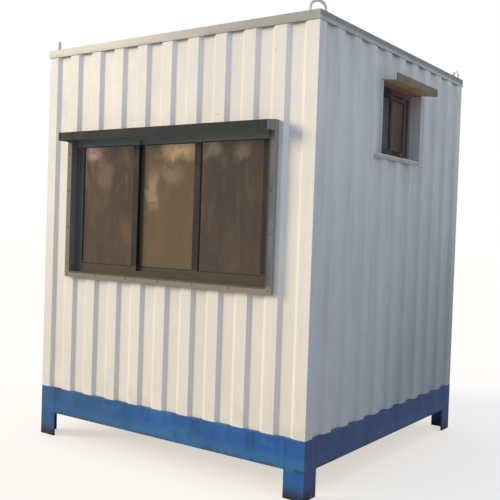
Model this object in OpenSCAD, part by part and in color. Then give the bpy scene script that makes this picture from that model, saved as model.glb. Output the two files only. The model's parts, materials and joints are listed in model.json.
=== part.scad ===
// Portable steel site office with a ribbed sheet skin, on four angle legs.
// Origin at the centre of the footprint on the ground, front wall towards -Y.

/* [Cabin] */
// Width over the corner posts, left to right
cabin_w = 2440; // [2350:10:3600]
// Depth over the corner posts, front to back
cabin_d = 2440; // [1800:10:3600]
// Height of the walls from the base to the top of the roof rails
wall_h = 2640; // [2600:10:3000]
// Thickness of the walls from the outer flats to the room
wall_t = 140; // [120:1:170]
// Depth of the roof space from the top of the rails down to the room
roof_space = 112; // [100:2:200]
// Thickness of the lining and ceiling boards
lining_t = 9; // [6:1:15]

/* [Base] */
// Height of the base beams above the ground
underside_h = 180; // [100:5:300]
// Width of the leg angles
leg_w = 150; // [110:5:200]
// Thickness of the leg angles
leg_t = 12; // [8:1:16]
// Depth of the base channels
beam_h = 200; // [150:5:250]
// Width of the channel flanges
beam_flange = 75; // [60:1:100]
// Thickness of the channel flanges
beam_flange_t = 11; // [6:0.5:14]
// Thickness of the channel webs
beam_web_t = 7; // [4:0.5:10]
// Number of floor joists
joist_count = 4; // [2:1:8]
// Depth of the floor joists
joist_h = 100; // [75:5:120]
// Width of the joist flanges
joist_w = 50; // [40:1:75]
// Thickness of the joist walls
joist_t = 6; // [4:0.5:8]
// Thickness of the floor board
floor_t = 18; // [12:1:30]
// Gap between the floor board and the wall sheets
floor_gap = 3; // [1:0.5:10]

/* [Wall sheets] */
// Distance between the pressed grooves
groove_pitch = 235; // [200:5:300]
// Width of a groove at the outer flats
groove_mouth = 148; // [120:1:180]
// Width of a groove at its floor
groove_floor = 88; // [40:1:100]
// Depth of the grooves
groove_depth = 20; // [14:1:40]
// Thickness of the steel sheet
sheet_t = 2; // [1:0.5:4]
// Gap at the welded seams between sheets
seam_gap = 0.6; // [0.2:0.1:0.8]
// Width of the corner post angles
post_w = 82; // [60:1:100]
// Thickness of the corner post angles
post_t = 6; // [4:1:10]

/* [Roof] */
// Height of the roof rail on the walls
rail_h = 58; // [45:1:90]
// Width of the roof rail ledge that carries the roof
rail_ledge = 60; // [45:1:90]
// Thickness of the roof rails
rail_t = 6; // [4:1:10]
// Inset of the roof sheet from the wall faces
roof_inset = 15; // [5:1:25]
// Height of the pressed roof ribs
roof_rib_h = 18; // [10:1:25]
// Width of a roof rib at its foot
roof_rib_w = 140; // [100:1:180]
// Run of the slopes at the sides and ends of a roof rib
roof_rib_run = 30; // [15:1:45]
// Distance from the wall faces to the ends of the roof ribs
roof_rib_margin = 130; // [110:5:250]
// Outer width of a lifting ring
ring_w = 118; // [90:1:150]
// Height of a lifting ring above the rails
ring_h = 80; // [75:1:110]
// Diameter of the lifting ring bar
ring_bar_d = 20; // [12:1:24]
// Distance of a lifting ring from the wall faces
ring_in = 46; // [44:1:55]

/* [Front window] */
// Clear width of the front window
window_w = 1810; // [1400:10:1900]
// Clear height of the front window
window_h = 1010; // [700:10:1050]
// Height of the front window above the base
window_sill = 930; // [800:10:1000]
// Width of the folded trim around the window
trim_w = 45; // [30:1:60]
// Projection of the trim from the outer flats
trim_out = 38; // [12:1:50]
// Thickness of the reveal plates through the wall
reveal_t = 4; // [2:0.5:6]
// Recess of the front window frame behind the outer flats
window_recess = 17; // [10:1:50]
// Number of sliding sashes in the front window
window_sashes = 3; // [2:1:4]

/* [Window frames] */
// Face width of the fixed frame
frame_w = 35; // [25:1:50]
// Thickness of the fins between and beside the sliding tracks
track_fin = 3; // [2:0.5:5]
// Depth of the sliding tracks in the frame
track_depth = 12; // [6:1:18]
// Face width of the upright members of the front window sashes
sash_stile = 52; // [36:1:60]
// Face height of the sash rails
sash_rail = 40; // [30:1:60]
// Depth of a sash
sash_d = 20; // [16:1:20]
// Play of a sash in its track
sash_play = 0.6; // [0.2:0.1:0.9]
// Thickness of the glass
glass_t = 5; // [4:0.5:8]

/* [Ventilators] */
// Clear width of a ventilator
vent_w = 670; // [450:10:800]
// Clear height of a ventilator
vent_h = 514; // [350:2:560]
// Distance from the top of the rails down to the head of a ventilator
vent_drop = 272; // [200:2:500]
// Shift of the ventilators towards the rear
vent_shift = 25; // [-100:5:100]
// Number of sliding sashes in a ventilator
vent_sashes = 2; // [2:1:3]
// Face width of the upright members of the ventilator sashes
vent_stile = 30; // [24:1:60]
// Projection of the ventilator sill from the wall
sill_out = 12; // [8:1:40]
// Thickness of the ventilator sill
sill_t = 30; // [15:1:40]
// Overhang of the sill past the sides of the ventilator
sill_over = 40; // [20:1:80]
// Shift of the sill towards the front
sill_shift = 60; // [0:5:80]

/* [Hoods] */
// Projection of the front window and door hoods from the outer flats
hood_out = 132; // [80:1:200]
// Projection of the ventilator hoods
vent_hood_out = 116; // [60:1:150]
// Height of the front lip of a hood
hood_lip = 60; // [40:1:80]
// Fall of a hood from the wall to the lip
hood_fall = 12; // [4:1:25]
// Height of the flange that holds the front window and door hoods to the wall
hood_flange = 40; // [25:1:60]
// Thickness of the hood plates
hood_t = 3; // [2:0.5:5]
// Overhang of a ventilator hood past the opening
vent_hood_over = 35; // [20:1:90]
// Height of the upstand along the edge of a ventilator hood
vent_hood_lip = 54; // [30:1:70]

/* [Door] */
// Projection of the door trim and leaf from the outer flats
door_out = 13; // [6:1:20]
// Width of the door leaf
door_w = 880; // [750:10:1000]
// Distance from the top of the rails down to the head of the door
door_drop = 586; // [300:2:700]
// Thickness of the door leaf
door_t = 40; // [30:1:50]
// Face width of the door frame
door_frame_w = 40; // [30:1:60]
// Depth of the stop behind the door leaf
door_stop = 12; // [8:1:20]
// Gap around the door leaf
door_gap = 3; // [2:0.5:5]
// Shift of the door along the rear wall
door_shift = 0; // [-400:10:400]
// Height of the door handle above the base
handle_z = 1010; // [900:10:1100]
// Distance of the handle from the edge of the leaf
handle_in = 65; // [50:5:90]
// Height of the handle plate
handle_plate_h = 180; // [120:5:240]
// Width of the handle plate
handle_plate_w = 40; // [30:1:55]
// Thickness of the handle plate
handle_plate_t = 5; // [3:1:8]
// Projection of the lever from the leaf
handle_out = 45; // [35:1:65]
// Length of the lever
lever_l = 120; // [90:5:150]
// Diameter of the lever
lever_d = 14; // [10:1:20]
// Number of hinges
hinge_count = 3; // [2:1:4]
// Distance from the ends of the leaf to the middle of the outer hinges
hinge_in = 245; // [100:5:400]
// Height of a hinge
hinge_h = 110; // [80:5:140]
// Diameter of the hinge barrels
hinge_d = 16; // [12:1:20]
// Width of an open hinge
hinge_w = 60; // [40:1:80]
// Thickness of the hinge plates
hinge_t = 4; // [2:0.5:5]

/* [Hidden] */
$fn = 48;

// Walls are numbered front, right, rear, left
FRONT = 0;
RIGHT = 1;
REAR = 2;
LEFT = 3;
VENT_SIDES = [RIGHT, LEFT];

// Corners are numbered front left, front right, rear right, rear left
CORNERS = [[-1, -1], [1, -1], [1, 1], [-1, 1]];

CREAM = [0.90, 0.87, 0.81];
BLUE = [0.17, 0.36, 0.60];
GREY = [0.66, 0.65, 0.61];
CHARCOAL = [0.20, 0.20, 0.20];
BROWN_GLASS = [0.40, 0.33, 0.27, 0.6];
BOARD = [0.78, 0.70, 0.58];
STEEL = [0.72, 0.72, 0.73];

base_top = underside_h + beam_h;
wall_top = base_top + wall_h;
floor_top = base_top + floor_t;
ceiling_z = wall_top - roof_space;
sheet_h = wall_h - rail_t;
room_w = cabin_w - 2 * wall_t;
room_d = cabin_d - 2 * wall_t;
outer_flat = groove_pitch - groove_mouth;
skin_depth = groove_depth + sheet_t;
floor_inset = skin_depth + floor_gap;
rib_foot = sheet_t / 2;
track_w = sash_d + 2 * sash_play;
track_pitch = track_w + track_fin;
frame_d = 2 * track_pitch + track_fin;
vent_recess = wall_t - frame_d;
door_head = wall_top - door_drop;
door_h = door_head - floor_top - 2 * door_gap;

// How far a cutter runs past a wall, and past a single face
cut_margin = 50;
overcut = 1;

// An opening is [centre, bottom, width, height] on the face of its wall
front_opening = [0, base_top + window_sill, window_w, window_h];
door_opening = [door_shift, floor_top, door_w + 2 * door_gap, door_head - floor_top];

function side_length(side) = side % 2 == 0 ? cabin_w : cabin_d;
function side_distance(side) = (side % 2 == 0 ? cabin_d : cabin_w) / 2;
function to_rear(side) = side == RIGHT ? 1 : -1;
function vent_opening(side) =
    [vent_shift * to_rear(side), wall_top - vent_drop - vent_h, vent_w, vent_h];
function grown(opening, margin) = [
    opening[0], opening[1] - margin, opening[2] + 2 * margin, opening[3] + 2 * margin
];
function inset(opening, margin) = grown(opening, -margin);

// Centres of a row of count copies at the given pitch
function row(count, pitch) = [for (i = [0 : count - 1]) (i - (count - 1) / 2) * pitch];

// Puts a wall's own frame in place: x along the wall, y into the room, z up
module on_side(side) {
    rotate(90 * side)
        translate([0, -side_distance(side), 0])
            children();
}

// Puts a corner's own frame in place: x and y run from the corner into the cabin
module at_corner(corner) {
    signs = CORNERS[corner];
    translate([signs[0] * cabin_w / 2, signs[1] * cabin_d / 2, 0])
        mirror([signs[0] > 0 ? 1 : 0, 0, 0])
            mirror([0, signs[1] > 0 ? 1 : 0, 0])
                children();
}

// Extrudes a section drawn in y and z along x, centred
module along_x(length) {
    translate([-length / 2, 0, 0])
        rotate([90, 0, 90])
            linear_extrude(length)
                children();
}

// Rolled equal angle, drawn with its heel at the origin
module angle_section(width, thickness) {
    polygon([
        [0, 0], [width, 0], [width, thickness],
        [thickness, thickness], [thickness, width], [0, width]
    ]);
}

// Rolled channel, drawn with the back of its web on the second axis
module channel_section(height, flange, flange_t, web_t) {
    difference() {
        square([flange, height]);
        translate([web_t, flange_t])
            square([flange, height - 2 * flange_t]);
    }
}

// Block that fills an opening from one depth to another
module opening_block(opening, y0, y1) {
    translate([opening[0] - opening[2] / 2, y0, opening[1]])
        cube([opening[2], y1 - y0, opening[3]]);
}

// Rectangular ring around an opening, of one face width all round
module opening_ring(outer, width, y0, y1) {
    difference() {
        opening_block(outer, y0, y1);
        opening_block(inset(outer, width), y0 - overcut, y1 + overcut);
    }
}

// Cuts an opening and the two seams that run on from its sides
module opening_cut(opening) {
    cut = grown(opening, reveal_t);
    depth = wall_t + 2 * cut_margin;
    opening_block(cut, -cut_margin, depth - cut_margin);
    for (x = [cut[0] - cut[2] / 2 - seam_gap, cut[0] + cut[2] / 2])
        translate([x, -cut_margin, 0])
            cube([seam_gap, depth, wall_top + cut_margin]);
}

// The door opening runs down through the edge of the base
module door_cut() {
    drop = door_opening[1];
    opening_cut([
        door_opening[0], door_opening[1] - drop, door_opening[2] + 2 * door_frame_w - 2 * reveal_t,
        door_opening[3] + door_frame_w - reveal_t + drop
    ]);
}

module leg(corner) {
    color(BLUE)
        at_corner(corner)
            linear_extrude(base_top)
                angle_section(leg_w, leg_t);
}

// The web stops between the legs, the flanges run on inside the leg angles
module base_beam(side) {
    web_length = side_length(side) - 2 * leg_w;
    flange_length = side_length(side) - 2 * (side % 2 == 0 ? leg_t : beam_flange);
    color(BLUE)
        on_side(side)
            translate([0, 0, underside_h]) {
                along_x(web_length)
                    channel_section(beam_h, beam_flange, beam_flange_t, beam_web_t);
                for (z = [0, beam_h - beam_flange_t])
                    translate([0, 0, z])
                        along_x(flange_length)
                            translate([leg_t, 0])
                                square([beam_flange - leg_t, beam_flange_t]);
            }
}

// Joists reach from web to web, coped around the top flanges of the side beams
module floor_joists() {
    span = cabin_w - 2 * beam_web_t;
    clear_span = cabin_w - 2 * beam_flange;
    spacing = (cabin_d - 2 * beam_flange) / (joist_count + 1);
    color(BLUE)
        for (y = row(joist_count, spacing))
            translate([0, y - joist_w / 2, base_top - joist_h])
                intersection() {
                    along_x(span)
                        channel_section(joist_h, joist_w, joist_t, joist_t);
                    union() {
                        along_x(clear_span)
                            square([joist_w, joist_h]);
                        along_x(span)
                            square([joist_w, joist_h - beam_flange_t]);
                    }
                }
}

module floor_board() {
    color(BOARD)
        translate([floor_inset - cabin_w / 2, floor_inset - cabin_d / 2, base_top])
            cube([cabin_w - 2 * floor_inset, cabin_d - 2 * floor_inset, floor_t]);
}

module corner_post(corner) {
    color(CREAM)
        at_corner(corner)
            translate([0, 0, base_top])
                linear_extrude(sheet_h)
                    angle_section(post_w, post_t);
}

// Plan of a pressed wall sheet: wide outer flats between sloped grooves
module sheet_section(width) {
    count = floor((width + outer_flat) / groove_pitch);
    face = concat(
        [[-width / 2, 0]],
        [for (c = row(count, groove_pitch)) each [
            [c - groove_mouth / 2, 0], [c - groove_floor / 2, groove_depth],
            [c + groove_floor / 2, groove_depth], [c + groove_mouth / 2, 0]
        ]],
        [[width / 2, 0]]
    );
    last = len(face) - 1;
    polygon(concat(face, [for (i = [last : -1 : 0]) face[i] + [0, sheet_t]]));
}

// Wall sheets stand on the base beams; the cutters given as children open them
module wall_sheets(side) {
    color(CREAM)
        on_side(side)
            difference() {
                translate([0, 0, base_top])
                    linear_extrude(sheet_h)
                        sheet_section(side_length(side) - 2 * post_w);
                children();
            }
}

module front_wall() wall_sheets(FRONT) opening_cut(front_opening);
module right_wall() wall_sheets(RIGHT) opening_cut(vent_opening(RIGHT));
module left_wall() wall_sheets(LEFT) opening_cut(vent_opening(LEFT));
module rear_wall() wall_sheets(REAR) door_cut();

// Lining boards stand on the floor; front and rear boards lap the side ones
module lining(side) {
    length = side % 2 == 0 ? room_w + 2 * lining_t : room_d;
    color(BOARD)
        on_side(side)
            difference() {
                translate([-length / 2, wall_t - lining_t, floor_top])
                    cube([length, lining_t, ceiling_z - floor_top]);
                children();
            }
}

module front_lining() lining(FRONT) opening_cut(front_opening);
module right_lining() lining(RIGHT) opening_cut(vent_opening(RIGHT));
module left_lining() lining(LEFT) opening_cut(vent_opening(LEFT));
module rear_lining() lining(REAR) door_cut();

// Angle rail that caps the sheets: one leg on their face, one ledge for the roof
module roof_rail(side) {
    is_long = side % 2 == 0;
    face_length = side_length(side) + (is_long ? 2 * rail_t : 0);
    ledge_length = side_length(side) - (is_long ? 0 : 2 * rail_ledge);
    color(GREY)
        on_side(side)
            translate([0, 0, wall_top]) {
                along_x(face_length)
                    translate([-rail_t, -rail_h])
                        square([rail_t, rail_h]);
                along_x(ledge_length)
                    translate([-rail_t / 2, -rail_t])
                        square([rail_ledge + rail_t / 2, rail_t]);
            }
}

// Raised ribs with sloped sides and sloped ends
module roof_ribs() {
    length = cabin_d - 2 * roof_rib_margin;
    count = floor((cabin_w - 2 * roof_rib_margin) / groove_pitch);
    intersection() {
        rotate([90, 0, 0])
            linear_extrude(cabin_d, center = true)
                for (x = row(count, groove_pitch))
                    translate([x, 0])
                        rib_section(roof_rib_w);
        along_x(cabin_w)
            rib_section(length);
    }
}

module rib_section(width) {
    polygon([
        [-width / 2, -rib_foot], [width / 2, -rib_foot], [width / 2, 0],
        [width / 2 - roof_rib_run, roof_rib_h], [roof_rib_run - width / 2, roof_rib_h],
        [-width / 2, 0]
    ]);
}

// One pressed sheet, its corners clipped clear of the lifting rings
module roof_sheet() {
    clip = 2 * ring_in + 2 * ring_bar_d;
    color(GREY)
        translate([0, 0, wall_top])
            difference() {
                union() {
                    translate([roof_inset - cabin_w / 2, roof_inset - cabin_d / 2, 0])
                        cube([cabin_w - 2 * roof_inset, cabin_d - 2 * roof_inset, sheet_t]);
                    translate([0, 0, sheet_t])
                        roof_ribs();
                }
                roof_ribs();
                for (corner = [0 : 3])
                    at_corner(corner)
                        translate([0, 0, -overcut])
                            linear_extrude(sheet_t + 2 * overcut)
                                polygon([[0, 0], [clip, 0], [0, clip]]);
            }
}

module ceiling() {
    color(BOARD)
        translate([-room_w / 2 - lining_t, -room_d / 2 - lining_t, ceiling_z])
            cube([room_w + 2 * lining_t, room_d + 2 * lining_t, lining_t]);
}

// Bar bent to a loop and welded across each roof corner
module lifting_rings() {
    bend_r = (ring_w - ring_bar_d) / 2;
    leg_h = ring_h - ring_w / 2;
    color(STEEL)
        for (corner = [0 : 3])
            at_corner(corner)
                translate([ring_in, ring_in, wall_top])
                    rotate(-45) {
                        for (x = [-bend_r, bend_r])
                            translate([x, 0, 0])
                                cylinder(h = leg_h, d = ring_bar_d);
                        translate([0, 0, leg_h])
                            rotate([90, 0, 0])
                                rotate_extrude(angle = 180)
                                    translate([bend_r, 0])
                                        circle(d = ring_bar_d);
                    }
}

// Reveal plates through the wall, folded outside to a face and a return on the flats
module front_window_surround() {
    fold = grown(front_opening, trim_w - reveal_t);
    color(GREY)
        on_side(FRONT) {
            opening_ring(grown(front_opening, reveal_t), reveal_t, -trim_out, wall_t);
            difference() {
                opening_ring(grown(front_opening, trim_w), trim_w, -trim_out, 0);
                opening_ring(fold, trim_w - 2 * reveal_t, reveal_t - trim_out, overcut);
            }
        }
}

// Space that the sashes of a window share, down to the floor of their tracks
function sash_space(opening) = inset(opening, frame_w - track_depth);

// Fixed frame with one sliding track behind the other
module window_frame(opening, depth) {
    difference() {
        opening_ring(opening, frame_w, depth, depth + frame_d);
        for (y = [depth + track_fin, depth + track_fin + track_pitch])
            opening_block(sash_space(opening), y, y + track_w);
    }
}

// Sashes overlap by one stile; opening [centre, bottom, width, height] of each
function sash_openings(opening, count, stile) =
    let (space = sash_space(opening), width = (space[2] + (count - 1) * stile) / count)
    [for (x = row(count, width - stile)) [space[0] + x, space[1], width, space[3] - sash_play]];

// What the stiles and rails of a sash leave open
function sash_light(leaf, stile) =
    [leaf[0], leaf[1] + sash_rail, leaf[2] - 2 * stile, leaf[3] - 2 * sash_rail];

// Depth of a sash in the frame: every other sash runs in the inner track
function sash_depth(depth, index) = depth + track_fin + sash_play + (index % 2) * track_pitch;

module window_sashes_of(opening, depth, count, stile) {
    leaves = sash_openings(opening, count, stile);
    for (i = [0 : count - 1])
        let (y = sash_depth(depth, i))
            difference() {
                opening_block(leaves[i], y, y + sash_d);
                opening_block(sash_light(leaves[i], stile), y - overcut, y + sash_d + overcut);
            }
}

module window_glass_of(opening, depth, count, stile) {
    leaves = sash_openings(opening, count, stile);
    for (i = [0 : count - 1])
        let (y = sash_depth(depth, i) + (sash_d - glass_t) / 2)
            opening_block(sash_light(leaves[i], stile), y, y + glass_t);
}

module front_window_frame() {
    color(CHARCOAL)
        on_side(FRONT)
            window_frame(front_opening, window_recess);
}

module front_window_sashes() {
    color(CHARCOAL)
        on_side(FRONT)
            window_sashes_of(front_opening, window_recess, window_sashes, sash_stile);
}

module front_window_glass() {
    color(BROWN_GLASS)
        on_side(FRONT)
            window_glass_of(front_opening, window_recess, window_sashes, sash_stile);
}

// Folded rain hood: a sloped top, a front lip, a wall flange and end cheeks
module hood(centre, length, bottom, out) {
    lip_top = hood_lip;
    wall_top_edge = hood_lip + hood_fall;
    outline = [[0, 0], [-out, 0], [-out, lip_top], [0, wall_top_edge]];
    color(CHARCOAL)
        translate([centre, 0, bottom]) {
            along_x(length)
                polygon([
                    [0, wall_top_edge], [-out, lip_top], [-out, 0], [hood_t - out, 0],
                    [hood_t - out, lip_top - hood_t], [-hood_t, wall_top_edge - hood_t],
                    [-hood_t, wall_top_edge - hood_flange], [0, wall_top_edge - hood_flange]
                ]);
            for (x = [(hood_t - length) / 2, (length - hood_t) / 2])
                translate([x, 0, 0])
                    along_x(hood_t)
                        polygon(outline);
        }
}

// The hood stands on the face of the trim, level with its top
module front_window_hood() {
    trim = grown(front_opening, trim_w);
    bottom = trim[1] + trim[3] - hood_lip - hood_fall;
    on_side(FRONT)
        translate([0, -trim_out, 0])
            hood(trim[0], trim[2], bottom, hood_out - trim_out);
}

// Reveal plates of the ventilators, with a flat sill strip on the wall below
module ventilator_sleeves() {
    color(CREAM)
        for (side = VENT_SIDES)
            let (opening = vent_opening(side), sill_w = vent_w + 2 * sill_over)
                on_side(side) {
                    opening_ring(grown(opening, reveal_t), reveal_t, 0, wall_t);
                    translate([-sill_shift * to_rear(side), 0, 0])
                        translate([opening[0] - sill_w / 2, -sill_out, opening[1] - sill_t])
                            cube([sill_w, sill_out, sill_t]);
                }
}

module ventilator_frames() {
    color(CHARCOAL)
        for (side = VENT_SIDES)
            on_side(side)
                window_frame(vent_opening(side), vent_recess);
}

module ventilator_sashes() {
    color(CHARCOAL)
        for (side = VENT_SIDES)
            on_side(side)
                window_sashes_of(vent_opening(side), vent_recess, vent_sashes, vent_stile);
}

module ventilator_glass() {
    color(BROWN_GLASS)
        for (side = VENT_SIDES)
            on_side(side)
                window_glass_of(vent_opening(side), vent_recess, vent_sashes, vent_stile);
}

// Open tray over each ventilator: a plate with a fall, welded to the head, and an upstand
module ventilator_hoods() {
    edge = hood_t - vent_hood_out;
    color(CHARCOAL)
        for (side = VENT_SIDES)
            let (opening = vent_opening(side))
                on_side(side)
                    translate([opening[0], 0, opening[1] + vent_h])
                        along_x(vent_w + 2 * vent_hood_over)
                            polygon([
                                [0, 0], [-vent_hood_out, -hood_fall],
                                [-vent_hood_out, vent_hood_lip - hood_fall],
                                [edge, vent_hood_lip - hood_fall], [edge, hood_t - hood_fall],
                                [0, hood_t]
                            ]);
}

// Frame with a stop behind the leaf, a threshold and a flat trim on three sides
module door_frame() {
    outer_w = door_opening[2] + 2 * door_frame_w;
    outer = [door_shift, base_top, outer_w, door_opening[1] - base_top + door_opening[3] + door_frame_w];
    trim = [door_shift, base_top, outer_w + 2 * trim_w, outer[3] + trim_w];
    over_floor = [door_shift, 0, outer_w + 2 * overcut, floor_top];
    leaf_back = door_t - door_out;
    color(GREY)
        on_side(REAR)
            difference() {
                union() {
                    opening_block(outer, -door_out, wall_t);
                    opening_block(trim, -door_out, 0);
                }
                opening_block(door_opening, -door_out - overcut, leaf_back);
                opening_block(inset(door_opening, door_stop), leaf_back - overcut, wall_t + overcut);
                opening_block(over_floor, floor_inset, wall_t + overcut);
            }
}

module door_leaf() {
    color(CREAM)
        on_side(REAR)
            opening_block(inset(door_opening, door_gap), -door_out, door_t - door_out);
}

// Lever on a plate, on the free edge of the leaf
module door_handle() {
    x = door_shift + door_w / 2 - handle_in;
    color(STEEL)
        on_side(REAR)
            translate([x, -door_out, base_top + handle_z]) {
                translate([-handle_plate_w / 2, -handle_plate_t, -handle_plate_h / 2])
                    cube([handle_plate_w, handle_plate_t, handle_plate_h]);
                rotate([90, 0, 0])
                    cylinder(h = handle_out, d = lever_d);
                translate([0, -handle_out, 0])
                    rotate([0, -90, 0])
                        cylinder(h = lever_l, d = lever_d);
            }
}

// Barrel hinges whose plates lie on the leaf and on the frame
module door_hinges() {
    x = door_shift - (door_w + door_gap) / 2;
    middle = floor_top + door_gap + door_h / 2;
    pitch = (door_h - 2 * hinge_in) / (hinge_count - 1);
    color(STEEL)
        on_side(REAR)
            for (z = row(hinge_count, pitch))
                translate([x, -door_out, middle + z - hinge_h / 2]) {
                    translate([-hinge_w / 2, -hinge_t, 0])
                        cube([hinge_w, hinge_t, hinge_h]);
                    translate([0, -hinge_d / 2, 0])
                        cylinder(h = hinge_h, d = hinge_d);
                }
}

module door_hood() {
    trim_width = door_opening[2] + 2 * (door_frame_w + trim_w);
    bottom = door_opening[1] + door_opening[3] + door_frame_w + trim_w;
    on_side(REAR)
        hood(door_shift, trim_width, bottom, hood_out);
}

leg(0);  // leg_front_left
leg(1);  // leg_front_right
leg(2);  // leg_rear_right
leg(3);  // leg_rear_left
base_beam(FRONT);  // base_beam_front
base_beam(RIGHT);  // base_beam_right
base_beam(REAR);  // base_beam_rear
base_beam(LEFT);  // base_beam_left
floor_joists();
floor_board();
corner_post(0);  // corner_post_front_left
corner_post(1);  // corner_post_front_right
corner_post(2);  // corner_post_rear_right
corner_post(3);  // corner_post_rear_left
front_wall();
right_wall();
rear_wall();
left_wall();
front_lining();
right_lining();
rear_lining();
left_lining();
roof_rail(FRONT);  // roof_rail_front
roof_rail(RIGHT);  // roof_rail_right
roof_rail(REAR);  // roof_rail_rear
roof_rail(LEFT);  // roof_rail_left
roof_sheet();
ceiling();
lifting_rings();
front_window_surround();
front_window_frame();
front_window_sashes();
front_window_glass();
front_window_hood();
ventilator_sleeves();
ventilator_frames();
ventilator_sashes();
ventilator_glass();
ventilator_hoods();
door_frame();
door_leaf();
door_handle();
door_hinges();
door_hood();
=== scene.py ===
"""Looks of the portable steel site office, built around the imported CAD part."""
import json
import math

import bmesh
import bpy
from mathutils import Matrix, Vector


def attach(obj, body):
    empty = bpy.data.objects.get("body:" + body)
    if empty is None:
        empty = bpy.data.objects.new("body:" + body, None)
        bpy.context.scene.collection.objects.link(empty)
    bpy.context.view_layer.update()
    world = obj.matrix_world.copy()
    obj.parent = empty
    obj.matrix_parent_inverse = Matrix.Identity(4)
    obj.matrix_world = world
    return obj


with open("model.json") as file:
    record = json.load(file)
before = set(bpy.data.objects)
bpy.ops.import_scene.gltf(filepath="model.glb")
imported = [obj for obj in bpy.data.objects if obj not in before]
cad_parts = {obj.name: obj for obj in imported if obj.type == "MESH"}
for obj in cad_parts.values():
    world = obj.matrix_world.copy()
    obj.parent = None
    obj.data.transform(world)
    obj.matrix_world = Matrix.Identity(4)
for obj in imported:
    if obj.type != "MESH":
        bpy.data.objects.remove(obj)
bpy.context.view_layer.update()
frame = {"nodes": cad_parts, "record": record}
nodes = frame["nodes"]

# Sizes of the CAD part that the added pieces and materials follow, in metres
HALF = 1.220
UNDERSIDE = 0.180
BASE_TOP = 0.380
WALL_TOP = 3.020
LEG_W = 0.150
POST_W = 0.082
RAIL_H = 0.058
RAIL_LOW = WALL_TOP - RAIL_H
SHEET_T = 0.002
GROOVE_PITCH = 0.235
GROOVE_DEPTH = 0.020
ROOF_INSET = 0.015
ROOF_CLIP = 0.117
RING_IN = 0.046
RING_REACH = 0.049
RING_BAR_R = 0.010
WINDOW_HALF = 0.905
WINDOW_LOW = 1.310
WINDOW_HIGH = 2.320
TRIM_W = 0.045
TRIM_OUT = 0.038
REVEAL_T = 0.004
VENT_SHIFT = 0.025
VENT_HALF = 0.335
VENT_LOW = 2.234
VENT_HIGH = 2.748
SILL_T = 0.030
SILL_LOW = VENT_LOW - SILL_T
SILL_OUT = 0.012
SILL_OVER = 0.040
SILL_SHIFT = 0.060
HOOD_T = 0.003
HOOD_HALF = 0.950
HOOD_LOW = 2.293
DOOR_CUT = 0.483
DOOR_HOOD_HALF = 0.528
DOOR_HOOD_TOP = 2.591
HANDLE_X = 0.375
HANDLE_Z = 1.390
HANDLE_FACE = 0.018
HINGE_X = -0.4415
HINGE_ROW = (0.646, 1.416, 2.186)
HINGE_FACE = 0.017

FRONT, RIGHT, REAR, LEFT = range(4)

# Windows as (wall, centre, low edge, high edge, half width, depth of the frame, sashes, stile)
WINDOWS = {
    "front_window": (FRONT, 0.0, WINDOW_LOW, WINDOW_HIGH, WINDOW_HALF, 0.0170, 3, 0.052),
    "ventilator_right": (RIGHT, VENT_SHIFT, VENT_LOW, VENT_HIGH, VENT_HALF, 0.0886, 2, 0.030),
    "ventilator_left": (LEFT, -VENT_SHIFT, VENT_LOW, VENT_HIGH, VENT_HALF, 0.0886, 2, 0.030),
}
SASH_REST = 0.023
SASH_RAIL = 0.040
SASH_PLAY = 0.0006
TRACK_FIN = 0.003
TRACK_PITCH = 0.0242
GLASS_IN = 0.0075
GLASS_T = 0.005

# Colours that more than one material uses
CREAM = (0.775, 0.748, 0.692)
CREAM_DULL = (0.715, 0.690, 0.645)
WALL_DIRT = (0.260, 0.255, 0.245)
RUST = (0.160, 0.070, 0.032)

# Middles of the two long dirt tracks below each ventilator, along y
DIRT_TRACKS = (0.06, 0.28)

# Painted reflections: pale patches on the front panes, as (x, z, half width, half height, share, colour)
PAINTED_REFLECTIONS = (
    (-0.74, 2.225, 0.120, 0.090, 1.00, (0.600, 0.390, 0.290)),
    (0.10, 2.215, 0.250, 0.100, 1.00, (0.900, 0.600, 0.300)),
    (0.40, 2.205, 0.095, 0.085, 0.70, (0.440, 0.350, 0.240)),
    (0.65, 2.195, 0.080, 0.090, 0.55, (0.380, 0.300, 0.220)),
    (-0.15, 1.920, 0.070, 0.190, 0.75, (0.540, 0.360, 0.220)),
    (0.03, 2.050, 0.150, 0.085, 0.45, (0.460, 0.340, 0.200)),
    (-0.60, 2.030, 0.095, 0.180, 0.45, (0.440, 0.280, 0.200)),
)

# Part of a painted reflection's size that is full strength before it fades
REFLECTION_CORE = 0.2


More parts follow.
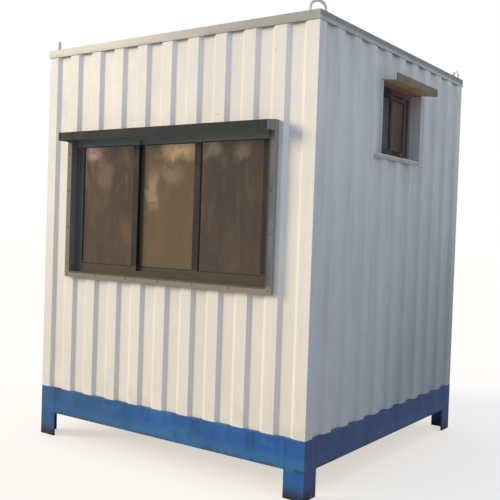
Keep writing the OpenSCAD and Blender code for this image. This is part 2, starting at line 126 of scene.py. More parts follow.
class Surface:
    """A Principled material, with short calls for the texture nodes that feed it."""

    def __init__(self, name, **constants):
        self.material = bpy.data.materials.new(name)
        self.material.use_nodes = True
        self.tree = self.material.node_tree
        self.shader = self.tree.nodes["Principled BSDF"]
        for socket, value in constants.items():
            self.set(socket.replace("_", " "), value)
        self.place = self.add("ShaderNodeTexCoord").outputs["Object"]
        split = self.add("ShaderNodeSeparateXYZ")
        self.link(self.place, split.inputs[0])
        self.x, self.y, self.z = split.outputs

    def add(self, kind, **settings):
        node = self.tree.nodes.new(kind)
        for key, value in settings.items():
            setattr(node, key, value)
        return node

    def link(self, source, target):
        """Joins a node output to an input, or sets the input to a plain value."""
        if isinstance(source, bpy.types.NodeSocket):
            self.tree.links.new(source, target)
        else:
            target.default_value = source

    def set(self, socket, source):
        self.link(source, self.shader.inputs[socket])

    def noise(self, scale, detail=4.0, stretch=(1, 1, 1), roughness=0.55, warp=0.0):
        mapping = self.add("ShaderNodeMapping")
        self.link(self.place, mapping.inputs["Vector"])
        mapping.inputs["Scale"].default_value = stretch
        texture = self.add("ShaderNodeTexNoise")
        self.link(mapping.outputs[0], texture.inputs["Vector"])
        texture.inputs["Scale"].default_value = scale
        texture.inputs["Detail"].default_value = detail
        texture.inputs["Roughness"].default_value = roughness
        texture.inputs["Distortion"].default_value = warp
        return texture.outputs[0]

    def calc(self, operation, a, b=0.0):
        node = self.add("ShaderNodeMath", operation=operation)
        self.link(a, node.inputs[0])
        self.link(b, node.inputs[1])
        return node.outputs[0]

    def chain(self, operation, values):
        result = values[0]
        for value in values[1:]:
            result = self.calc(operation, result, value)
        return result

    def times(self, *factors):
        return self.chain("MULTIPLY", factors)

    def most(self, *values):
        return self.chain("MAXIMUM", values)

    def size(self, value):
        return self.calc("ABSOLUTE", value)

    def less(self, value, amount):
        return self.calc("SUBTRACT", value, amount)

    def away(self, value, place):
        """Distance of a value from a place, on either side."""
        return self.size(self.less(value, place))

    def band(self, value, at_zero, at_one):
        """Smooth step: 0 where value is at_zero, 1 where it is at_one."""
        node = self.add("ShaderNodeMapRange", interpolation_type="SMOOTHSTEP")
        self.link(value, node.inputs["Value"])
        rising = at_one > at_zero
        node.inputs["From Min"].default_value = min(at_zero, at_one)
        node.inputs["From Max"].default_value = max(at_zero, at_one)
        node.inputs["To Min"].default_value = 0.0 if rising else 1.0
        node.inputs["To Max"].default_value = 1.0 if rising else 0.0
        return node.outputs[0]

    def spread(self, value, low, high):
        """Maps 0..1 to low..high."""
        node = self.add("ShaderNodeMapRange")
        self.link(value, node.inputs["Value"])
        node.inputs["To Min"].default_value = low
        node.inputs["To Max"].default_value = high
        return node.outputs[0]

    def blend(self, factor, a, b):
        node = self.add("ShaderNodeMix", data_type="RGBA")
        self.link(factor, node.inputs[0])
        for source, target in ((a, node.inputs[6]), (b, node.inputs[7])):
            self.link(source if isinstance(source, bpy.types.NodeSocket) else (*source, 1.0), target)
        return node.outputs[2]

    def bump(self, *layers):
        """Layers of (height, strength, distance in metres), one on top of the other."""
        normal = None
        for height, strength, distance in layers:
            node = self.add("ShaderNodeBump")
            node.inputs["Strength"].default_value = strength
            node.inputs["Distance"].default_value = distance
            self.link(height, node.inputs["Height"])
            if normal is not None:
                self.link(normal, node.inputs["Normal"])
            normal = node.outputs[0]
        self.set("Normal", normal)


def outward(s):
    """Distance of a point from the cabin's axis, measured square to the nearest wall."""
    return s.most(s.size(s.x), s.size(s.y))


def facing(s):
    """The direction a face looks in, as three separate values."""
    split = s.add("ShaderNodeSeparateXYZ")
    s.link(s.add("ShaderNodeNewGeometry").outputs["Normal"], split.inputs[0])
    return split.outputs


def side_walls(s):
    """1 on the left and right walls, 0 on the front and the rear."""
    return s.band(s.less(s.size(s.x), s.size(s.y)), -0.01, 0.01)


def wall_paint(name, clean, dull, dirt, roughness):
    """Off-white paint, warm in front, with a film of dirt and runs on the sides, painted light and shade
    on the front grooves' slopes and under the side rail, and painted shade on the ventilator's soffit.
    """
    s = Surface(name, Specular_IOR_Level=0.35)
    on_side = side_walls(s)
    on_front = s.spread(on_side, 1.0, 0.0)
    patches = s.band(s.noise(1.1, 3.0), 0.35, 0.70)

    # Film on the sides, thicker low down and to the rear, washed off above the ventilator
    lower = s.band(s.z, 2.95, 0.50)
    far = s.band(s.y, -1.20, 1.20)
    washed = s.times(on_side, s.band(s.z, 2.72, 2.82), s.band(s.away(s.y, 0.20), 0.55, 0.25))
    film = s.calc("ADD", s.spread(far, 0.07, 0.20), s.times(lower, s.spread(far, 0.31, 0.57)))
    uneven = s.spread(s.noise(1.6, 4.0, (1, 1, 0.6)), 0.60, 1.40)
    film = s.times(film, on_side, uneven, s.spread(washed, 1.0, 0.10))

    # Runs below the roof rail and the ventilator, splashes over the base, dirt in the grooves, and painted
    # light under the rail on the sides
    streaks = s.band(s.noise(1.0, 5.0, (26, 26, 0.9), 0.6), 0.50, 0.74)
    fine_streaks = s.band(s.noise(1.0, 4.0, (70, 70, 1.6), 0.6), 0.50, 0.80)
    drips = s.most(streaks, s.times(fine_streaks, 0.7))
    under_rail = s.band(s.z, 2.30, RAIL_LOW - 0.002)
    below_vent = s.times(
        on_side, s.band(s.z, 1.45, SILL_LOW - 0.004), s.band(s.z, SILL_LOW + 0.004, SILL_LOW - 0.004)
    )
    vent_run = s.times(below_vent, s.band(s.away(s.y, -0.02), 0.40, 0.30))
    run = s.times(s.most(s.times(under_rail, 0.25), vent_run, s.spread(on_side, 0.20, 0.45)), drips)
    tracks = s.most(*(s.band(s.away(s.y, y), 0.022, 0.004) for y in DIRT_TRACKS))
    splash = s.times(s.band(s.z, 0.75, 0.36), s.band(s.noise(7.0, 6.0), 0.38, 0.68))
    groove = s.band(outward(s), HALF - 0.004, HALF - GROOVE_DEPTH)
    # Painted light: less dirt just under the rail on the sides, lightening the shaded groove pockets there
    painted_light_under_rail = s.times(on_side, s.band(s.z, RAIL_LOW - 0.060, RAIL_LOW - 0.005))
    soot = s.most(
        film, s.times(run, 0.48), s.times(splash, 0.18), s.times(groove, s.spread(patches, 0.03, 0.10)),
        s.times(below_vent, tracks, 0.42),
    )
    soot = s.times(soot, s.spread(painted_light_under_rail, 1.0, 0.15))

    # Brown stain on the sill strip's face, deepened as painted shade so that only its top edge reads light
    on_sill = s.times(
        s.band(outward(s), HALF + SILL_OUT - 0.002, HALF + SILL_OUT - 0.0005),
        s.band(s.z, VENT_LOW - 0.004, VENT_LOW - 0.012), s.spread(s.noise(8.0, 5.0), 0.55, 1.15), on_side,
    )
    # Painted shade: dark brown on the soffit under the head of the ventilator, where the hood shades it
    head = s.times(
        s.band(s.away(s.y, VENT_SHIFT), VENT_HALF + 0.002, VENT_HALF),
        s.band(s.z, VENT_HIGH - 0.012, VENT_HIGH - 0.001),
        s.band(s.z, VENT_HIGH + 0.004, VENT_HIGH + 0.002),
        s.band(outward(s), HALF + 0.001, HALF - 0.001), on_side,
    )

    # Tones of the sides and the front, painted light on the shaded slopes of the front grooves and painted
    # shade on their sunlit slopes, and chips
    stain = s.band(s.noise(1.0, 5.0, (9, 9, 1.1), 0.6), 0.46, 0.70)
    stain = s.times(on_side, stain, s.spread(washed, 1.0, 0.2))
    bloom = s.times(on_side, s.band(s.noise(1.5, 4.0, (1, 1, 0.8)), 0.48, 0.70))
    warmth = s.times(s.band(s.z, 2.90, 0.60), s.spread(on_side, 0.36, 0.0))
    slope = facing(s)["X"]
    high_up = s.spread(s.band(s.z, 1.6, 2.9), 0.15, 0.90)
    # Painted light on slopes that face away from the lamp, painted shade on slopes that face it
    painted_light_shaded_slopes = s.times(s.band(slope, 0.25, 0.50), on_front, high_up)
    painted_shade_lit_slopes = s.times(s.band(slope, -0.25, -0.50), on_front, 0.45)
    chips = s.times(s.band(s.noise(48.0, 3.0), 0.735, 0.75), s.band(s.noise(2.3, 2.0), 0.52, 0.62))

    colour = s.blend(patches, clean, dull)
    colour = s.blend(painted_light_shaded_slopes, colour, (0.930, 0.900, 0.830))
    colour = s.blend(painted_shade_lit_slopes, colour, (0.590, 0.560, 0.515))
    colour = s.blend(warmth, colour, (0.775, 0.675, 0.560))
    colour = s.blend(s.times(bloom, 0.26), colour, (0.560, 0.660, 0.710))
    colour = s.blend(soot, colour, dirt)
    colour = s.blend(s.times(stain, 0.30), colour, (0.400, 0.345, 0.290))
    colour = s.blend(s.times(on_sill, 0.88), colour, (0.350, 0.280, 0.220))
    colour = s.blend(head, colour, (0.400, 0.215, 0.130))
    colour = s.blend(chips, colour, (0.20, 0.09, 0.045))
    s.set("Base Color", colour)
    s.set("Roughness", s.spread(s.most(soot, s.noise(9.0, 4.0)), roughness - 0.08, roughness + 0.22))
    s.bump(
        (s.noise(2.6, 2.0), 0.30, 0.008),
        (s.noise(160.0, 3.0), 0.10, 0.0012),
        (chips, -0.4, 0.0006),
    )
    return s.material


def base_paint():
    """Blue paint, faded in patches, with runs below the wall grooves and black feet."""
    s = Surface("base_paint", Specular_IOR_Level=0.25)
    on_side = side_walls(s)
    on_front = s.spread(on_side, 1.0, 0.0)
    worn = s.noise(11.0, 7.0, roughness=0.65)

    # Fading and dull patches
    tone = s.band(s.noise(3.0, 4.0), 0.30, 0.70)
    faded = s.band(s.noise(6.0, 5.0, (1, 1, 1.5)), 0.50, 0.66)
    low_fade = s.times(
        s.band(s.z, UNDERSIDE + 0.110, UNDERSIDE + 0.045),
        s.band(s.z, UNDERSIDE - 0.010, UNDERSIDE + 0.004),
        s.spread(s.noise(8.0, 4.0), 0.15, 0.95),
    )
    dull = s.band(s.noise(4.5, 6.0, (1, 1, 0.5), 0.62), 0.50, 0.68)
    left = s.times(on_front, s.band(s.x, 0.10, -0.90))

    # Runs below the grooves, whose middles lie half way between whole pitches
    along = s.calc("ADD", s.times(s.x, on_front), s.times(s.y, on_side))
    from_groove = s.away(s.calc("FRACT", s.times(along, 1 / GROOVE_PITCH)), 0.5)
    drips = s.times(
        s.band(from_groove, 0.30, 0.08), s.band(s.z, UNDERSIDE + 0.020, BASE_TOP - 0.050),
        s.band(s.noise(1.0, 5.0, (13, 13, 3), 0.6), 0.40, 0.62), s.spread(on_side, 0.75, 0.30),
    )

    # Film on the sides, dust, grime and bare steel
    film = s.times(on_side, s.spread(s.noise(4.0, 5.0), 0.34, 0.70))
    dust = s.times(s.band(s.noise(5.0, 6.0, (1, 1, 0.6)), 0.42, 0.78), 0.06)
    ledge = s.times(s.band(s.z, BASE_TOP - 0.014, BASE_TOP + 0.001), s.band(worn, 0.42, 0.60), 0.25)
    on_beams = s.band(s.z, UNDERSIDE - 0.010, UNDERSIDE)
    lower_edge = s.times(s.band(s.z, UNDERSIDE + 0.060, UNDERSIDE), on_beams)
    edge_grime = s.times(s.band(s.z, UNDERSIDE + 0.025, UNDERSIDE + 0.005), s.band(worn, 0.40, 0.58), 0.60)
    grime = s.most(
        s.times(s.band(s.z, 0.11, 0.0), s.band(worn, 0.30, 0.52)), s.times(lower_edge, edge_grime)
    )
    bare = s.most(
        s.times(s.band(s.noise(38.0, 4.0), 0.66, 0.69), s.band(s.noise(4.0, 2.0), 0.46, 0.60)),
        s.times(lower_edge, s.band(s.noise(26.0, 5.0), 0.60, 0.66), 0.7),
    )

    colour = s.blend(tone, (0.010, 0.086, 0.285), (0.016, 0.112, 0.355))
    colour = s.blend(s.most(s.times(faded, 0.55), low_fade), colour, (0.030, 0.160, 0.320))
    colour = s.blend(s.times(dull, 0.45), colour, (0.012, 0.058, 0.180))
    colour = s.blend(s.times(left, 0.50), colour, (0.010, 0.066, 0.150))
    colour = s.blend(drips, colour, (0.008, 0.056, 0.118))
    colour = s.blend(film, colour, (0.066, 0.043, 0.057))
    colour = s.blend(s.most(dust, ledge), colour, (0.30, 0.31, 0.33))
    colour = s.blend(bare, colour, (0.060, 0.038, 0.032))
    colour = s.blend(grime, colour, (0.020, 0.019, 0.021))
    s.set("Base Color", colour)
    s.set("Roughness", s.spread(s.most(dust, bare, grime, film), 0.42, 0.85))
    s.bump(
        (s.noise(120.0, 3.0), 0.14, 0.0012),
        (s.most(bare, grime), -0.5, 0.0010),
        (s.noise(5.0, 2.0), 0.2, 0.006),
    )
    return s.material


def weathered_metal(name, light, dark, rust_share, roughness, metallic=0.0, specular=0.5):
    """Grey metal or paint with chalky patches and specks of rust."""
    s = Surface(name, Metallic=metallic, Specular_IOR_Level=specular)
    tone = s.band(s.noise(6.0, 6.0), 0.32, 0.70)
    chalk = s.band(s.noise(2.0, 4.0, (5, 5, 0.8)), 0.46, 0.72)
    spots = s.band(s.noise(34.0, 5.0), 0.72 - rust_share, 0.76 - rust_share)
    specks = s.times(spots, s.band(s.noise(3.1, 2.0), 0.42, 0.62))
    colour = s.blend(tone, dark, light)
    colour = s.blend(s.times(chalk, 0.25), colour, tuple(1.25 * c + 0.01 for c in light))
    colour = s.blend(specks, colour, RUST)
    s.set("Base Color", colour)
    s.set("Roughness", s.spread(s.most(chalk, specks, tone), roughness - 0.08, roughness + 0.18))
    s.bump((s.noise(150.0, 3.0), 0.12, 0.0010), (specks, -0.4, 0.0006))
    return s.material


def rail_paint():
    """Cream paint, grey and mossy towards the front right corner and along the top of the sides."""
    s = Surface("rail_paint", Specular_IOR_Level=0.30)
    on_side = side_walls(s)
    edge = s.calc("ADD", s.z, s.times(s.less(s.noise(9.0, 5.0), 0.5), 0.030))
    upper = s.band(edge, WALL_TOP - 0.060, WALL_TOP - 0.030)
    along = s.spread(s.band(s.x, -0.7, 1.1), 0.08, 0.84)
    washed = s.times(on_side, s.band(s.z, WALL_TOP - 0.024, WALL_TOP - 0.052), 0.75)
    overgrown = s.most(along, s.times(on_side, s.spread(upper, 0.40, 1.0)))
    moss = s.times(overgrown, s.spread(washed, 1.0, 0.0), s.spread(s.noise(5.0, 6.0), 0.80, 1.15))
    lip = s.band(s.z, WALL_TOP - 0.030, WALL_TOP - 0.056)
    lip = s.times(lip, s.band(s.noise(4.5, 5.0), 0.40, 0.62), 0.50)
    streaks = s.times(s.band(s.noise(1.0, 5.0, (34, 34, 1.5), 0.6), 0.50, 0.72), 0.30)
    rust = s.times(s.band(s.noise(30.0, 5.0), 0.66, 0.70), s.band(s.noise(3.3, 2.0), 0.46, 0.62))
    colour = s.blend(s.noise(4.0, 4.0), (0.600, 0.570, 0.515), (0.670, 0.640, 0.580))
    colour = s.blend(s.most(moss, streaks), colour, (0.292, 0.300, 0.268))
    colour = s.blend(lip, colour, (0.330, 0.275, 0.220))
    colour = s.blend(rust, colour, RUST)
    s.set("Base Color", colour)
    s.set("Roughness", s.spread(s.most(moss, rust), 0.45, 0.80))
    s.bump((s.noise(130.0, 3.0), 0.14, 0.0012), (s.most(moss, rust), 0.3, 0.0008))
    return s.material


def folded_paint(name, light, dark, ends, ledge):
    """Chalky paint of hoods and trims, with painted light on the window's outer ends and underside, which
    lie in shade, and paler on the ledge.
    """
    s = Surface(name, Specular_IOR_Level=0.09)
    tone = s.band(s.noise(6.0, 6.0), 0.32, 0.70)
    chalk = s.band(s.noise(2.0, 4.0, (5, 5, 0.8)), 0.46, 0.72)
    specks = s.times(s.band(s.noise(34.0, 5.0), 0.70, 0.74), s.band(s.noise(3.1, 2.0), 0.42, 0.62))
    in_front = s.band(s.y, 0.0, -1.0)
    # Painted light: faces turned down are paler, lightening the shade under them
    underside = s.band(facing(s)["Z"], -0.4, -0.8)
    # Painted light on the outer end faces, which lie in shade
    outer = s.band(s.size(s.x), HOOD_HALF - 0.0012, HOOD_HALF - 0.0004)
    below = s.times(s.band(s.z, WINDOW_LOW + 0.020, WINDOW_LOW - 0.004), in_front)
    under_hood = s.band(s.z, HOOD_LOW - 0.003, HOOD_LOW - 0.013)
    left = s.times(s.band(s.x, 0.2 - WINDOW_HALF, -WINDOW_HALF), in_front, under_hood)
    sealed_right = s.times(
        s.band(s.x, WINDOW_HALF + 0.018, WINDOW_HALF + 0.012),
        s.band(s.x, WINDOW_HALF - 0.015, WINDOW_HALF),
        s.band(s.z, WINDOW_LOW - 0.008, WINDOW_LOW - 0.002), 0.75,
    )
    sealed_below = s.times(
        s.band(s.z, WINDOW_LOW - 0.015, WINDOW_LOW - 0.011), s.band(s.z, WINDOW_LOW + 0.002, WINDOW_LOW),
        s.band(s.size(s.x), WINDOW_HALF + 0.004, WINDOW_HALF), in_front, 0.85,
    )
    colour = s.blend(tone, dark, light)
    colour = s.blend(s.times(chalk, 0.25), colour, tuple(1.3 * c + 0.01 for c in light))
    colour = s.blend(underside, colour, (0.440, 0.440, 0.410))
    colour = s.blend(s.times(left, 0.70), colour, (0.248, 0.224, 0.160))
    colour = s.blend(s.times(below, s.spread(s.noise(7.0, 5.0), 0.70, 1.0)), colour, ledge)
    colour = s.blend(s.times(outer, s.spread(s.noise(9.0, 5.0), 0.60, 1.0)), colour, ends)
    colour = s.blend(sealed_right, colour, (0.048, 0.048, 0.046))
    colour = s.blend(sealed_below, colour, (0.092, 0.074, 0.052))
    colour = s.blend(specks, colour, RUST)
    s.set("Base Color", colour)
    s.set("Roughness", s.spread(s.most(chalk, specks, tone), 0.50, 0.76))
    s.bump((s.noise(150.0, 3.0), 0.12, 0.0010), (specks, -0.4, 0.0006))
    return s.material


def sash_paint(name, light, dark, dusty):
    """Dark frame metal, dusty on the low rails, with painted light: paler where a hood or the reveal
    shades it.
    """
    s = Surface(name, Specular_IOR_Level=0.14)
    tone = s.band(s.noise(6.0, 6.0), 0.32, 0.70)
    low = s.band(s.z, WINDOW_LOW + 0.085, WINDOW_LOW + 0.055)
    low = s.times(low, s.spread(s.noise(9.0, 5.0), 0.55, 1.0))
    scratches = s.times(s.band(s.noise(1.0, 5.0, (60, 60, 4), 0.6), 0.56, 0.72), 0.30)
    on_window = s.band(s.size(s.x), HOOD_HALF - 0.010, HOOD_HALF - 0.030)
    # Painted light on the front window's left stile, in the shade of the reveal
    left = s.times(on_window, s.band(s.x, 0.079 - WINDOW_HALF, 0.071 - WINDOW_HALF))
    # Painted light on the front window's head, in the shade of the hood
    head = s.times(on_window, s.band(s.z, WINDOW_HIGH - 0.070, WINDOW_HIGH - 0.062))
    head_tone = s.blend(s.band(s.x, -0.80, 0.40), (0.185, 0.200, 0.205), (0.245, 0.235, 0.190))
    in_vent = s.band(s.size(s.x), 1.0, 1.1)
    # Paler reddish brown on the ventilator frames' head towards the front
    reddish_head = s.times(in_vent, s.band(s.z, VENT_HIGH - 0.100, VENT_HIGH - 0.070), s.band(s.y, 0.0, 0.03))
    # Painted light on the ventilators' far stiles, in the deep shade of the reveal
    deep = s.times(in_vent, s.band(s.y, 0.24, 0.29))
    colour = s.blend(tone, dark, light)
    colour = s.blend(s.most(low, scratches), colour, dusty)
    colour = s.blend(left, colour, (0.105, 0.094, 0.092))
    colour = s.blend(head, colour, head_tone)
    colour = s.blend(s.times(reddish_head, 0.85), colour, (0.200, 0.112, 0.100))
    colour = s.blend(s.times(deep, 0.90), colour, (0.250, 0.212, 0.190))
    s.set("Base Color", colour)
    s.set("Roughness", s.spread(s.most(low, tone), 0.47, 0.72))
    s.bump((s.noise(150.0, 3.0), 0.12, 0.0010))
    return s.material


def vent_hood_paint():
    """Thin brown-grey paint with rust in runs, and a pale orange underside that is rust with painted
    bounce light.
    """
    s = Surface("vent_hood_paint", Specular_IOR_Level=0.25)
    tone = s.band(s.noise(7.0, 6.0), 0.32, 0.68)
    runs = s.band(s.noise(1.0, 5.0, (30, 30, 5), 0.6), 0.46, 0.70)
    rust = s.band(s.noise(22.0, 6.0), 0.56, 0.66)
    # Underside: rust, lightened as painted light bounced up from below
    below = s.band(facing(s)["Z"], -0.4, -0.8)
    colour = s.blend(tone, (0.165, 0.124, 0.078), (0.255, 0.193, 0.122))
    colour = s.blend(s.times(runs, 0.55), colour, (0.180, 0.098, 0.050))
    colour = s.blend(s.times(rust, 0.65), colour, (0.125, 0.062, 0.032))
    colour = s.blend(s.times(below, s.spread(tone, 0.7, 1.0)), colour, (0.570, 0.350, 0.195))
    s.set("Base Color", colour)
    s.set("Roughness", s.spread(s.most(runs, rust), 0.55, 0.88))
    s.bump((s.noise(140.0, 3.0), 0.16, 0.0012), (rust, -0.4, 0.0006))
    return s.material


def tinted_glass():
    """Brown glass, cloudy with dust, warmer in the middle pane, with pale smears near the top and painted
    reflections.
    """
    s = Surface("tinted_glass", Transmission_Weight=0.35, IOR=1.5, Specular_IOR_Level=0.36)
    middle = s.band(s.size(s.x), 0.34, 0.26)
    right = s.band(s.x, 0.26, 0.36)
    cloud = s.band(s.noise(3.2, 6.0, (1.6, 1.6, 0.7), 0.62, 0.6), 0.40, 0.72)
    ragged = s.band(s.noise(9.0, 6.0, (1, 1, 1.4), 0.62, 0.2), 0.24, 0.48)
    shift_x = s.calc("ADD", s.x, s.times(s.less(s.noise(6.0, 4.0), 0.5), 0.17))
    shift_z = s.calc("ADD", s.z, s.times(s.less(s.noise(7.0, 4.0, (1, 1, 0.8)), 0.5), 0.17))
    smears = s.band(s.noise(5.5, 5.0, (2.4, 2.4, 0.55), 0.6, 0.8), 0.50, 0.74)
    smears = s.times(smears, s.spread(s.band(s.z, 1.60, 2.15), 0.20, 0.60))
    colour = s.blend(cloud, (0.084, 0.046, 0.018), (0.172, 0.096, 0.038))
    colour = s.blend(s.times(middle, 0.60), colour, (0.250, 0.154, 0.058))
    colour = s.blend(s.times(right, 0.55), colour, (0.062, 0.044, 0.032))
    colour = s.blend(s.times(smears, 0.40), colour, (0.330, 0.240, 0.160))
    reddish = s.band(s.noise(1.0, 5.0, (11, 11, 0.9), 0.6), 0.48, 0.68)
    reddish = s.times(reddish, s.spread(middle, 0.30, 0.10))
    olive = s.band(s.noise(1.3, 5.0, (9, 9, 0.8), 0.6), 0.47, 0.66)
    olive = s.times(olive, s.spread(middle, 0.10, 0.45))
    colour = s.blend(reddish, colour, (0.205, 0.072, 0.036))
    colour = s.blend(olive, colour, (0.150, 0.118, 0.045))
    # Painted reflections laid over the glass as pale patches
    for x, z, half_x, half_z, share, tint in PAINTED_REFLECTIONS:
        across = s.band(s.away(shift_x, x), half_x, REFLECTION_CORE * half_x)
        up = s.band(s.away(shift_z, z), half_z, REFLECTION_CORE * half_z)
        colour = s.blend(s.times(across, up, ragged, share), colour, tint)
    s.set("Base Color", colour)
    s.set("Roughness", s.spread(s.most(smears, s.times(cloud, 0.4)), 0.06, 0.28))
    s.bump((s.noise(1.4, 2.0), 0.05, 0.004))
    return s.material


def ventilator_glass():
    """Dirty brown glass in the shade of the deep reveal, darker in the sash nearer the front, with painted
    light near the top.
    """
    s = Surface("ventilator_glass", Transmission_Weight=0.25, IOR=1.5, Specular_IOR_Level=0.06)
    cloud = s.band(s.noise(5.0, 6.0, (1.6, 1.6, 0.7), 0.62, 0.6), 0.36, 0.70)
    lines = s.band(s.noise(1.0, 5.0, (24, 24, 1.2), 0.6), 0.40, 0.70)
    near = s.band(s.y, 0.03, 0.01)
    # Painted light: paler glass near the top of the far sash, in the shade of the hood
    upper = s.times(s.band(s.z, VENT_HIGH - 0.30, VENT_HIGH - 0.10), s.band(s.y, 0.06, 0.16))
    colour = s.blend(cloud, (0.165, 0.105, 0.092), (0.245, 0.155, 0.122))
    colour = s.blend(s.times(lines, 0.35), colour, (0.070, 0.050, 0.054))
    colour = s.blend(s.times(near, 0.80), colour, (0.050, 0.048, 0.051))
    colour = s.blend(s.times(upper, 0.55), colour, (0.330, 0.205, 0.172))
    s.set("Base Color", colour)
    s.set("Roughness", s.spread(s.most(cloud, lines), 0.28, 0.50))
    s.bump((s.noise(1.4, 2.0), 0.05, 0.004))
    return s.material


def rubber(name):
    """Dull black rubber with a fine grain."""
    s = Surface(name, Specular_IOR_Level=0.25)
    s.set("Base Color", s.blend(s.noise(40.0, 4.0), (0.012, 0.012, 0.012), (0.030, 0.029, 0.027)))
    s.set("Roughness", s.spread(s.noise(25.0, 3.0), 0.55, 0.80))
    s.bump((s.noise(400.0, 2.0), 0.2, 0.0004))
    return s.material


def board(name, light, dark, grain):
    """Board with a stretched grain and darker patches."""
    s = Surface(name)
    fibre = s.noise(1.0, 6.0, grain, 0.6, 0.4)
    tone = s.noise(2.2, 3.0)
    colour = s.blend(s.band(fibre, 0.30, 0.72), dark, light)
    colour = s.blend(s.times(s.band(tone, 0.40, 0.70), 0.25), colour, tuple(0.8 * c for c in dark))
    s.set("Base Color", colour)
    s.set("Roughness", s.spread(fibre, 0.45, 0.70))
    s.bump((fibre, 0.15, 0.0006))
    return s.material


MATERIALS = {
    "wall_paint": wall_paint("wall_paint", CREAM, CREAM_DULL, WALL_DIRT, 0.45),
    "door_paint": wall_paint("door_paint", (0.760, 0.730, 0.670), CREAM_DULL, WALL_DIRT, 0.42),
    "base_paint": base_paint(),
    "rail_paint": rail_paint(),
    "vent_hood_paint": vent_hood_paint(),
    "roof_paint": weathered_metal(
        "roof_paint", light=(0.440, 0.440, 0.425), dark=(0.330, 0.330, 0.322),
        rust_share=0.07, roughness=0.60, specular=0.3,
    ),
    "trim_paint": folded_paint(
        "trim_paint", light=(0.178, 0.172, 0.160), dark=(0.125, 0.121, 0.113),
        ends=(0.330, 0.330, 0.315), ledge=(0.270, 0.232, 0.178),
    ),
    "hood_paint": folded_paint(
        "hood_paint", light=(0.037, 0.038, 0.036), dark=(0.022, 0.025, 0.026),
        ends=(0.290, 0.290, 0.275), ledge=(0.040, 0.038, 0.034),
    ),
    "window_frame": sash_paint(
        "window_frame", light=(0.026, 0.023, 0.020), dark=(0.016, 0.015, 0.014),
        dusty=(0.096, 0.076, 0.052),
    ),
    "ring_steel": weathered_metal(
        "ring_steel", light=(0.74, 0.74, 0.73), dark=(0.60, 0.595, 0.58),
        rust_share=0.06, roughness=0.45, metallic=0.2,
    ),
    "door_hardware": weathered_metal(
        "door_hardware", light=(0.58, 0.58, 0.58), dark=(0.44, 0.44, 0.44),
        rust_share=0.02, roughness=0.32, metallic=0.85,
    ),
    "tinted_glass": tinted_glass(),
    "lining_board": board("lining_board", (0.560, 0.470, 0.350), (0.440, 0.355, 0.255), (40, 40, 2.5)),
    "floor_board": board("floor_board", (0.300, 0.220, 0.145), (0.200, 0.140, 0.090), (6, 60, 60)),
}
GASKET = rubber("gasket_rubber")
VENT_FRAME = sash_paint(
    "ventilator_frame", light=(0.046, 0.043, 0.044), dark=(0.033, 0.032, 0.033),
    dusty=(0.056, 0.052, 0.052),
)

for row in frame["record"]["subparts"]:
    node = nodes[row["node"]]
    node.data.materials.clear()
    node.data.materials.append(MATERIALS[row["material_slot"]])

# The ventilators share slots with the front window, in tones of their own
nodes["ventilator_glass"].data.materials[0] = ventilator_glass()
for name in ("ventilator_frames", "ventilator_sashes"):
    nodes[name].data.materials[0] = VENT_FRAME


# How far the added pieces sink into what carries them, and how finely they are drawn
SUNK = 0.0006
RIPPLE_STEPS = 4
RIPPLE_DEPTH = 0.22
ARC_STEPS = 5
RIVET_SEGMENTS = 10
ROUND_SEGMENTS = 14
HEX_SEGMENTS = 6

# Beads of weld, paint and sealant, as (width, height, length of a ripple)
BASE_WELD = (0.010, 0.0028, 0.007)
WALL_SEAM = (0.005, 0.0008, 0.012)
ROOF_SEALANT = (0.016, 0.0042, 0.020)
TRAY_WELD = (0.007, 0.0035, 0.008)
DOOR_HOOD_SEALANT = (0.012, 0.004, 0.014)

# Rubber glazing bead, as (distance from the sash, height over the glass)
GASKET_PROFILE = ((0.0, 0.0), (0.0, 0.0055), (0.0022, 0.0062), (0.0058, 0.0040), (0.0066, 0.0))

# Turned forms, as rings of (radius, height)
RIVET = ((0.0045, -SUNK), (0.0045, 0.0008), (0.0036, 0.0022), (0.0016, 0.0028))
SCREW = (
    (0.0046, -SUNK), (0.0046, 0.0007), (0.0036, 0.0017),
    (0.0015, 0.0019), (0.0011, 0.0010), (0.0002, 0.0009),
)
LOCK = (
    (0.0105, -SUNK), (0.0105, 0.0022), (0.0092, 0.0030),
    (0.0062, 0.0030), (0.0056, 0.0016), (0.0003, 0.0014),
)
WASHER = ((0.0080, -SUNK), (0.0080, 0.0010), (0.0070, 0.0014))
HEX_HEAD = ((0.0056, 0.0010), (0.0056, 0.0042), (0.0046, 0.0050))
RING_COLLAR = (
    (RING_BAR_R + 0.0075, -SUNK), (RING_BAR_R + 0.0070, 0.0022),
    (RING_BAR_R + 0.0035, 0.0058), (RING_BAR_R + 0.0002, 0.0085),
)

# Places of the welds and fixings, in metres
ROOF_RIVET_IN = 0.036
ROOF_RIVET_END = 0.060
ROOF_RIVET_PITCH = 0.18
TRAY_WELD_OUT = 0.0025
SILL_RIVET_END = 0.030
SILL_RIVET_PITCH = 0.17
TRIM_SCREW_LOW = WINDOW_LOW + 0.06
TRIM_SCREW_HIGH = 2.20
TRIM_SCREW_PITCH_UP = 0.28
TRIM_SCREW_PITCH_ALONG = 0.30
HANDLE_SCREW_RISE = 0.075
LOCK_DROP = 0.045
HINGE_SCREW_ASIDE = 0.020
HINGE_SCREW_RISE = 0.038
DOOR_SEALANT_OUT = 0.002
DOOR_SEALANT_DOWN = 0.001

UP = Vector((0, 0, 1))


def on_wall(wall, x, y, z):
    """A point in a wall's own frame: x along the wall, y into the room, z up."""
    across = y - HALF
    places = ((x, across, z), (-across, x, z), (-x, -across, z), (across, -x, z))
    return Vector(places[wall])


def out_of(wall):
    """The direction out of a wall."""
    return on_wall(wall, 0, -1, 0) - on_wall(wall, 0, 0, 0)


